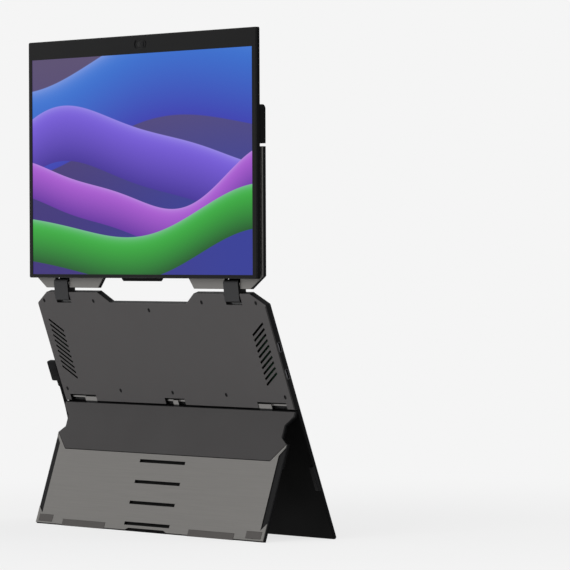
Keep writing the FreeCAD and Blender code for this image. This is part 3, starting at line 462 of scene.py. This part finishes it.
# %% Ribbon group
def ribbon_group():
    tree, given, result = start_group(
        "soft_ribbon",
        [("X", FLOAT, 0.0), ("Y", FLOAT, 0.0), ("Centre", FLOAT, 0.5), ("Rise", FLOAT, 0.1),
         ("Waves", FLOAT, 2.0), ("Shift", FLOAT, 0.0), ("Half Width", FLOAT, 0.1)],
        [("Mask", FLOAT), ("Across", FLOAT)])
    phase = calc(tree, "MULTIPLY_ADD", given["X"], given["Waves"], given["Shift"])
    first = calc(tree, "SINE", phase)
    second = calc(tree, "SINE", calc(tree, "MULTIPLY_ADD", phase, 1.7, 0.9))
    wave = calc(tree, "MULTIPLY_ADD", second, 0.35, first)
    middle = calc(tree, "MULTIPLY_ADD", wave, given["Rise"], given["Centre"])
    off = calc(tree, "DIVIDE", calc(tree, "SUBTRACT", given["Y"], middle), given["Half Width"])
    tree.links.new(between(tree, calc(tree, "ABSOLUTE", off), 1.0, 0.97), result.inputs[0])
    tree.links.new(calc(tree, "MULTIPLY_ADD", off, 0.5, 0.5), result.inputs[1])
    return tree


RIBBON = ribbon_group()
RIBBONS = [
    (dict(Centre=0.80, Rise=0.11, Waves=1.7, Shift=0.4), 0.20, (48, 52, 176), (40, 118, 214)),
    (dict(Centre=0.50, Rise=0.15, Waves=2.3, Shift=2.6), 0.13, (58, 34, 150), (122, 92, 226)),
    (dict(Centre=0.33, Rise=0.12, Waves=2.9, Shift=4.4), 0.085, (96, 36, 160), (178, 92, 216)),
    (dict(Centre=0.17, Rise=0.10, Waves=2.1, Shift=5.5), 0.10, (4, 84, 26), (52, 186, 58)),
]


# %% Lit screen
RIM_SHARPNESS = 14.0
RIM_SHARE = 0.3


def lit_screen():
    material = bpy.data.materials.new("lit_screen")
    material.use_nodes = True
    tree = material.node_tree
    shader = tree.nodes["Principled BSDF"]
    low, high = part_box("screen")
    place = add(tree, "ShaderNodeTexCoord").outputs["Object"]
    split = add(tree, "ShaderNodeSeparateXYZ", {0: place}).outputs
    x = calc(tree, "DIVIDE", split["X"], (high.x - low.x) / 2)
    y = calc(tree, "DIVIDE", calc(tree, "SUBTRACT", split["Z"], low.z), high.z - low.z)
    picture = blend_colour(tree, between(tree, x, -1.0, 1.0), tone(52, 36, 118), tone(40, 50, 150))
    picture = blend_colour(tree, between(tree, y, 0.2, 1.1), picture, tone(84, 70, 108))
    for shape, half_width, dark, light in RIBBONS:
        ribbon = add(tree, "ShaderNodeGroup", {"X": x, "Y": y, "Half Width": half_width, **shape},
                     node_tree=RIBBON)
        shade = blend_colour(tree, ribbon.outputs["Across"], tone(*dark), tone(*light))
        rim = calc(tree, "MAXIMUM", ribbon.outputs["Across"], 0.0)
        rim = calc(tree, "POWER", rim, RIM_SHARPNESS)
        rim = calc(tree, "MULTIPLY", rim, RIM_SHARE)
        shade = blend_colour(tree, rim, shade, tone(200, 200, 245))
        picture = blend_colour(tree, ribbon.outputs["Mask"], picture, shade)
    tree.links.new(picture, shader.inputs["Emission Color"])
    shader.inputs["Emission Strength"].default_value = 0.95
    shader.inputs["Specular IOR Level"].default_value = 0.15
    shader.inputs["Base Color"].default_value = tone(10, 10, 12)
    shader.inputs["Roughness"].default_value = 0.35
    return material


finishes["screen_glass"] = lit_screen()
for part in record["subparts"]:
    for slot in nodes[part["node"]].material_slots:
        slot.material = finishes[part["material_slot"]]


# %% [markdown]
# Small screws repeat on three bodies. One head is modelled in millimetres with
# a cross recess, and a Geometry Nodes tree sets a copy on every point and
# turns it to face the way that point says.

# %% Screw head
HEAD_RADIUS = 1.75
HEAD_HEIGHT = 0.5
HEAD_TAPER = 0.22
HEAD_SIDES = 24
SLOT_LENGTH = 2.0
SLOT_WIDTH = 0.36
SLOT_HEIGHT = 0.7
SLOT_LIFT = 0.05


def screw_head():
    mesh = bpy.data.meshes.new("head")
    build = bmesh.new()
    bmesh.ops.create_cone(build, cap_ends=True, segments=HEAD_SIDES, radius1=HEAD_RADIUS,
                          radius2=HEAD_RADIUS - HEAD_TAPER, depth=HEAD_HEIGHT)
    build.to_mesh(mesh)
    build.free()
    head = bpy.data.objects.new("head_source", mesh)
    scene.collection.objects.link(head)
    recess_mesh = bpy.data.meshes.new("recess")
    build = bmesh.new()
    for along, over in ((SLOT_LENGTH, SLOT_WIDTH), (SLOT_WIDTH, SLOT_LENGTH)):
        made = bmesh.ops.create_cube(build, size=1.0)
        bmesh.ops.scale(build, vec=(along, over, SLOT_HEIGHT), verts=made["verts"])
        bmesh.ops.translate(build, vec=(0, 0, HEAD_HEIGHT / 2 + SLOT_LIFT), verts=made["verts"])
    build.to_mesh(recess_mesh)
    build.free()
    recess = bpy.data.objects.new("recess_source", recess_mesh)
    scene.collection.objects.link(recess)
    carve = head.modifiers.new("carve", "BOOLEAN")
    carve.object = recess
    carve.operation = "DIFFERENCE"
    carve.solver = "EXACT"
    carve.use_self = True
    graph = bpy.context.evaluated_depsgraph_get()
    carved = bpy.data.meshes.new_from_object(head.evaluated_get(graph))
    head.modifiers.clear()
    head.data = carved
    bpy.data.objects.remove(recess)
    return head


# %% Geometry Nodes tree for screws
def start_tree(name, sockets):
    tree = bpy.data.node_groups.new(name, "GeometryNodeTree")
    tree.interface.new_socket("Geometry", in_out="INPUT", socket_type="NodeSocketGeometry")
    for label, kind in sockets:
        tree.interface.new_socket(label, in_out="INPUT", socket_type=kind)
    tree.interface.new_socket("Finish", in_out="INPUT", socket_type="NodeSocketMaterial")
    tree.interface.new_socket("Geometry", in_out="OUTPUT", socket_type="NodeSocketGeometry")
    return tree, tree.nodes.new("NodeGroupInput").outputs


def end_tree(tree, shape, finish):
    real = add(tree, "GeometryNodeRealizeInstances", {0: shape})
    done = add(tree, "GeometryNodeSetMaterial", {"Geometry": real.outputs[0], "Material": finish})
    result = tree.nodes.new("NodeGroupOutput")
    tree.links.new(done.outputs[0], result.inputs[0])


def points_tree():
    tree, given = start_tree("copies_on_points", [("Piece", "NodeSocketObject"), ("Size", FLOAT)])
    facing = add(tree, "GeometryNodeInputNamedAttribute", {"Name": "facing"},
                 data_type="FLOAT_VECTOR").outputs[0]
    turned = add(tree, "FunctionNodeAlignRotationToVector", {"Vector": facing}, axis="Z")
    piece = add(tree, "GeometryNodeObjectInfo", {"Object": given["Piece"]})
    copies = add(tree, "GeometryNodeInstanceOnPoints",
                 {"Points": given["Geometry"], "Instance": piece.outputs["Geometry"],
                  "Rotation": turned.outputs[0], "Scale": given["Size"]})
    end_tree(tree, copies.outputs[0], given["Finish"])
    return tree


COPIES = points_tree()
HEAD = screw_head()


# %% [markdown]
# The modifier's result is read back as a plain mesh and the modifier goes, so
# nothing in the finished piece depends on the tree.

# %% Bake a tree into a plain piece
def bake(name, mesh, tree, inputs, body, slot):
    carrier = bpy.data.objects.new(name + "_points", mesh)
    scene.collection.objects.link(carrier)
    modifier = carrier.modifiers.new("tree", "NODES")
    modifier.node_group = tree
    named = {item.name: item.identifier for item in tree.interface.items_tree
             if item.in_out == "INPUT"}
    for key, value in inputs.items():
        modifier[named[key]] = value
    graph = bpy.context.evaluated_depsgraph_get()
    plain = bpy.data.meshes.new_from_object(carrier.evaluated_get(graph))
    bpy.data.objects.remove(carrier)
    return settle(name, plain, body, slot)


def settle(name, mesh, body, slot):
    piece = bpy.data.objects.new(name, mesh)
    scene.collection.objects.link(piece)
    if not mesh.materials:
        mesh.materials.append(finishes[slot])
    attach(piece, body)
    print(name, "faces", len(mesh.polygons))
    return piece


def screws(name, places, facing, size, body):
    mesh = bpy.data.meshes.new(name + "_places")
    mesh.from_pydata([tuple(p) for p in places], [], [])
    attribute = mesh.attributes.new("facing", "FLOAT_VECTOR", "POINT")
    for item in attribute.data:
        item.vector = facing
    return bake(name, mesh, COPIES, {"Piece": HEAD, "Size": size * MM,
                                     "Finish": finishes["screw_steel"]}, body, "screw_steel")


# %% Screws on three bodies
OUT_OF_PANEL = Vector((0, -math.cos(LEAN), -math.sin(LEAN)))
BACKWARD = Vector((0, 1, 0))
HEAD_SINK = 0.3 + HEAD_HEIGHT / 2
# Rows on the panel: a height up the slope, then the places across
CASE_ROWS = ((210.0, (-166.0, -85.0, 85.0, 166.0)), (202.1, (0.0,)),
             (126.1, (-170.0, -82.6, 0.0, 82.6, 170.0)))
case_places = [panel_point(x, v, -HEAD_SINK) for v, row in CASE_ROWS for x in row]
case_heads = screws("panel_screw_heads", case_places, OUT_OF_PANEL, 1.0, "back_panel")
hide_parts("case_screws")

LEAF_SURFACE = -2.9
LEAF_SCREW = 0.4
LEAF_SCREW_V = 116.3
LEAF_SCREW_X = (-151.0, -162.0, 151.0, 162.0, -9.5, 9.5)
leaf_places = [panel_point(x, LEAF_SCREW_V, LEAF_SURFACE) for x in LEAF_SCREW_X]
screws("leaf_screw_heads", leaf_places, OUT_OF_PANEL, LEAF_SCREW, "back_panel")

RISER_SCREW_X = (-168.0, -20.0, 20.0, 168.0)
RISER_SCREW_Z = (14.0, 98.0)
MOUNT_SCREW_X = (-165.0, -40.0, 40.0, 165.0)
MOUNT_SCREW_Z = 138.0
riser_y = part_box("riser_screws")[1].y - HEAD_HEIGHT / 2 * MM
mount_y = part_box("mount_screws")[1].y - HEAD_HEIGHT / 2 * MM
display_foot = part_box("display_bezel")[0].z
riser_places = [(x * MM, riser_y, display_foot + z * MM)
                for x in RISER_SCREW_X for z in RISER_SCREW_Z]
riser_heads = screws("riser_screw_heads", riser_places, BACKWARD, 1.0, "riser")
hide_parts("riser_screws")
mount_places = [(x * MM, mount_y, display_foot + MOUNT_SCREW_Z * MM) for x in MOUNT_SCREW_X]
mount_heads = screws("mount_screw_heads", mount_places, BACKWARD, 1.0, "display")
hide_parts("mount_screws")
bpy.data.objects.remove(HEAD)


# %% [markdown]
# Behind each vent is a woven dust mesh. Two sets of thin wires cross, one just
# in front of the other, and the tree spaces them from a pitch.

# %% Woven vent mesh
def weave_tree():
    sizes = [(label, FLOAT) for label in ("Width", "Height", "Pitch", "Wire")]
    tree, given = start_tree("crossed_wires", sizes)
    thin = given["Wire"]
    pitch = given["Pitch"]
    both = tree.nodes.new("GeometryNodeJoinGeometry")
    for long_side, short_side, upright in (("Width", "Height", False), ("Height", "Width", True)):
        count = calc(tree, "FLOOR", calc(tree, "DIVIDE", given[short_side], pitch))
        first = calc(tree, "MULTIPLY", calc(tree, "SUBTRACT", count, 1.0), pitch)
        first = calc(tree, "MULTIPLY", first, -0.5)
        depth = calc(tree, "MULTIPLY", thin, 0.5 if upright else -0.5)
        corner = {"X": first, "Z": depth} if upright else {"Y": first, "Z": depth}
        start = add(tree, "ShaderNodeCombineXYZ", corner).outputs[0]
        step = add(tree, "ShaderNodeCombineXYZ", {"X" if upright else "Y": pitch}).outputs[0]
        size = {"X": thin, "Y": given[long_side], "Z": thin}
        if not upright:
            size = {"X": given[long_side], "Y": thin, "Z": thin}
        wire = add(tree, "GeometryNodeMeshCube",
                   {"Size": add(tree, "ShaderNodeCombineXYZ", size).outputs[0]})
        row = add(tree, "GeometryNodeMeshLine", {"Count": count, "Start Location": start,
                                                 "Offset": step})
        copies = add(tree, "GeometryNodeInstanceOnPoints",
                     {"Points": row.outputs[0], "Instance": wire.outputs[0]})
        tree.links.new(copies.outputs[0], both.inputs[0])
    end_tree(tree, both.outputs[0], given["Finish"])
    return tree


WEAVE = weave_tree()
VENT_X = 158.0
VENT_V = 164.25
WEAVE_W = -1.48
weave = {"Width": 24.6 * MM, "Height": 65.0 * MM, "Pitch": 1.1 * MM, "Wire": 0.16 * MM,
         "Finish": finishes["mesh"]}
for side, label in ((1, "right"), (-1, "left")):
    blank = bpy.data.meshes.new("blank")
    wires = bake("vent_weave_" + label, blank, WEAVE, weave, "back_panel", "mesh")
    wires.data.transform(panel_frame(side * VENT_X, VENT_V, WEAVE_W))
    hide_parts("vent_meshes")


# %% [markdown]
# The plugs are soft mouldings: rounded blocks with grip ridges, and a ribbed
# sleeve that lets the cord bend without a sharp corner. The block is a cube
# with all its edges rounded, and the sleeve is rings joined along a line.

# %% Rounded block and ribbed sleeve
def block(build, low, high, radius):
    made = bmesh.ops.create_cube(build, size=1.0)
    size = Vector(high) - Vector(low)
    bmesh.ops.scale(build, vec=size, verts=made["verts"])
    bmesh.ops.translate(build, vec=(Vector(low) + Vector(high)) / 2, verts=made["verts"])
    edges = list({edge for vert in made["verts"] for edge in vert.link_edges})
    bmesh.ops.bevel(build, geom=edges, offset=radius, segments=4, profile=0.5,
                    affect="EDGES", clamp_overlap=True)


RIB_RISE = 0.25
RINGS_A_RIB = 4
RING_POINTS = 24


def join_loops(build, loops):
    # Faces between each loop of vertices and the next one in the list
    count = len(loops[0])
    for before, after in zip(loops, loops[1:]):
        for k in range(count):
            j = (k + 1) % count
            build.faces.new((before[k], before[j], after[j], after[k]))


def sleeve(build, length, near, far, ribs, spread=1.0):
    # Rings along +X from radius near to radius far; ribs stand above, spread widens across
    rings = []
    steps = ribs * RINGS_A_RIB
    for i in range(steps + 1):
        share = i / steps
        radius = near + (far - near) * share
        if i % RINGS_A_RIB in (1, 2) and i < steps:
            radius += RIB_RISE
        ring = []
        for k in range(RING_POINTS):
            angle = 2 * math.pi * k / RING_POINTS
            spot = (length * share, radius * spread * math.cos(angle), radius * math.sin(angle))
            ring.append(build.verts.new(spot))
        rings.append(ring)
    join_loops(build, rings)
    build.faces.new(rings[0])
    build.faces.new(rings[-1])


def finish_mesh(build, name, place):
    bmesh.ops.recalc_face_normals(build, faces=build.faces)
    mesh = bpy.data.meshes.new(name)
    build.to_mesh(mesh)
    build.free()
    mesh.transform(place @ Matrix.Scale(MM, 4))
    mesh.shade_smooth()
    return mesh


# %% Plugs and sleeves
# The side plug is drawn in the panel's places, the far one from the cord's end
GRIPS = 5
GRIP_PITCH = 1.6
GRIP_WIDTH = 0.7
SIDE_LOW = (-193.95, RELIEF_TOP_V, -5.7)
SIDE_HIGH = (-178.75, 151.3, -0.3)
SIDE_ROUND = 1.5
SIDE_GRIP_V = 137.2
SIDE_GRIP_X = (-191.6, -181.2)
SIDE_GRIP_W = (-0.5, -0.3)
SIDE_GRIP_ROUND = 0.18
FAR_LOW = (6.0, -6.0, -3.0)
FAR_HIGH = (27.0, 6.0, 3.0)
FAR_ROUND = 1.6
FAR_GRIP_X = 12.5
FAR_GRIP_HALF = 4.2
FAR_GRIP_Z = (2.6, 3.0)
FAR_GRIP_ROUND = 0.15
FAR_SLEEVE = 6.5
RIBS = 3

build = bmesh.new()
block(build, SIDE_LOW, SIDE_HIGH, SIDE_ROUND)
for i in range(GRIPS):
    ridge = SIDE_GRIP_V + i * GRIP_PITCH
    block(build, (SIDE_GRIP_X[0], ridge, SIDE_GRIP_W[0]),
          (SIDE_GRIP_X[1], ridge + GRIP_WIDTH, SIDE_GRIP_W[1]), SIDE_GRIP_ROUND)
side_body = settle("side_plug_moulding", finish_mesh(build, "side_plug_moulding",
                                                     panel_frame(0, 0, 0)),
                   "back_panel", "cord_rubber")
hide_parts("side_plug")

down_slope = Matrix.Rotation(-math.pi / 2, 4, "Z")
build = bmesh.new()
sleeve(build, RELIEF_TOP_V - RELIEF_END_V, near=2.2, far=2.1, ribs=RIBS, spread=1.6)
side_sleeve = settle("side_relief_sleeve", finish_mesh(
    build, "side_relief_sleeve", panel_frame(CORD_X, RELIEF_TOP_V, SOCKET_W) @ down_slope),
    "back_panel", "cord_rubber")
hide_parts("side_relief")

far_turn = math.atan2(cord_end_heading.y, cord_end_heading.x)
far_place = Matrix.Translation(cord_end) @ Matrix.Rotation(far_turn, 4, "Z")
build = bmesh.new()
block(build, FAR_LOW, FAR_HIGH, FAR_ROUND)
for i in range(GRIPS):
    ridge = FAR_GRIP_X + i * GRIP_PITCH
    block(build, (ridge, -FAR_GRIP_HALF, FAR_GRIP_Z[0]),
          (ridge + GRIP_WIDTH, FAR_GRIP_HALF, FAR_GRIP_Z[1]), FAR_GRIP_ROUND)
sleeve(build, FAR_SLEEVE, near=2.1, far=2.55, ribs=RIBS)
far_body = settle("far_plug_moulding", finish_mesh(build, "far_plug_moulding", far_place),
                  "back_panel", "cord_rubber")
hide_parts("far_plug")


# %% [markdown]
# A hook-and-loop strap holds the coil. It is a rounded rectangle drawn round
# the cord's turns and given the strap's width.

# %% Strap round the coil
STRAP_HALF = 5.0
STRAP_THICK = 0.9
STRAP_ROUND = (2.2, 1.4)
UNDERSIDE_LESS = 0.1
ARC_STEPS = 6


def rounded_ring(low, high, radius):
    points = []
    for cx, cz, start in ((high[0], high[1], 0), (low[0], high[1], 90),
                          (low[0], low[1], 180), (high[0], low[1], 270)):
        x = cx - math.copysign(radius, cx - (low[0] + high[0]) / 2)
        z = cz - math.copysign(radius, cz - (low[1] + high[1]) / 2)
        for i in range(ARC_STEPS + 1):
            angle = math.radians(start + 90 / ARC_STEPS * i)
            points.append((x + radius * math.cos(angle), z + radius * math.sin(angle)))
    return points


tie_low, tie_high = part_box("cord_tie")
outer = rounded_ring((tie_low.x / MM, tie_low.z / MM), (tie_high.x / MM, tie_high.z / MM),
                     STRAP_ROUND[0])
inner_low = (tie_low.x / MM + STRAP_THICK, tie_low.z / MM + STRAP_THICK - UNDERSIDE_LESS)
inner_high = (tie_high.x / MM - STRAP_THICK, tie_high.z / MM - STRAP_THICK)
inner = rounded_ring(inner_low, inner_high, STRAP_ROUND[1])
build = bmesh.new()
loops = []
for ring, y in ((outer, -STRAP_HALF), (outer, STRAP_HALF), (inner, STRAP_HALF),
                (inner, -STRAP_HALF)):
    loops.append([build.verts.new((x, COIL_Y + y, z)) for x, z in ring])
join_loops(build, loops + loops[:1])
strap_mesh = finish_mesh(build, "coil_strap", Matrix.Identity(4))
strap_mesh.shade_flat()
strap = settle("coil_strap", strap_mesh, "back_panel", "tie_fabric")
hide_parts("cord_tie")


cord_piece.data.materials.append(finishes["cord_rubber"])
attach(cord_piece, "back_panel")
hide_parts("cord", "cord_coil", "cord_end")


# %% [markdown]
# The floor and the sky are the same pale tone, so no horizon shows. The sky
# lights evenly, and two large lamps give the faces some shape.

# %% Floor, sky and lamps
PALE = tone(245, 245, 245)
SKY_STRENGTH = 0.62
FLOOR_HALF = 20
# Metres from the origin: the floor shows some shadow near it and is plain further out
SHADOW_NEAR = 0.2
SHADOW_FAR = 1.0
PLAIN_NEAR = 0.8


def seen_share(tree):
    # 1 for a surface that is looked at, straight or in a reflection, and 0 for its light
    ray = add(tree, "ShaderNodeLightPath").outputs
    return calc(tree, "MAXIMUM", ray["Is Camera Ray"],
                calc(tree, "MAXIMUM", ray["Is Glossy Ray"], ray["Is Transmission Ray"]))


world = bpy.data.worlds.new("studio")
world.use_nodes = True
scene.world = world
tree = world.node_tree
tree.nodes.clear()
seen = seen_share(tree)
lighting = add(tree, "ShaderNodeBackground", {"Color": (1, 1, 1, 1), "Strength": SKY_STRENGTH})
shown = add(tree, "ShaderNodeBackground", {"Color": PALE, "Strength": 1.0})
both = add(tree, "ShaderNodeMixShader", {0: seen, 1: lighting.outputs[0], 2: shown.outputs[0]})
add(tree, "ShaderNodeOutputWorld", {0: both.outputs[0]})

floor_mesh = bpy.data.meshes.new("floor")
corners = [(x * FLOOR_HALF, y * FLOOR_HALF, 0) for x, y in ((-1, -1), (1, -1), (1, 1), (-1, 1))]
floor_mesh.from_pydata(corners, [], [(0, 1, 2, 3)])
floor = bpy.data.objects.new("floor", floor_mesh)
scene.collection.objects.link(floor)
floor_material = bpy.data.materials.new("pale_floor")
floor_material.use_nodes = True
tree = floor_material.node_tree
tree.nodes.clear()
seen = seen_share(tree)
place = add(tree, "ShaderNodeTexCoord").outputs["Object"]
away = add(tree, "ShaderNodeVectorMath", {0: place}, operation="LENGTH").outputs["Value"]
fade = between(tree, away, SHADOW_NEAR, SHADOW_FAR, PLAIN_NEAR, 1.0)
plain_share = calc(tree, "MULTIPLY", seen, fade)
lit = add(tree, "ShaderNodeBsdfDiffuse", {"Color": PALE})
even = add(tree, "ShaderNodeEmission", {"Color": PALE, "Strength": 1.0})
both = add(tree, "ShaderNodeMixShader", {0: plain_share, 1: lit.outputs[0], 2: even.outputs[0]})
add(tree, "ShaderNodeOutputMaterial", {0: both.outputs[0]})
floor_mesh.materials.append(floor_material)


def lamp(name, spot, aim, size, power):
    data = bpy.data.lights.new(name, "AREA")
    data.shape = "SQUARE"
    data.size = size
    data.energy = power
    made = bpy.data.objects.new(name, data)
    scene.collection.objects.link(made)
    made.location = spot
    made.rotation_mode = "QUATERNION"
    made.rotation_quaternion = (Vector(aim) - Vector(spot)).to_track_quat("-Z", "Y")


AIM = (0, 0, 0.22)
KEY_SPOT = backward * 1.9 - rightward * 1.3 + Vector((0, 0, 1.9))
SIDE_SPOT = backward * 0.6 + rightward * 2.4 + Vector((0, 0, 1.1))
lamp("key_softbox", KEY_SPOT, AIM, size=1.5, power=20)
lamp("side_softbox", SIDE_SPOT, AIM, size=1.2, power=10)
scene.view_settings.view_transform = "Standard"
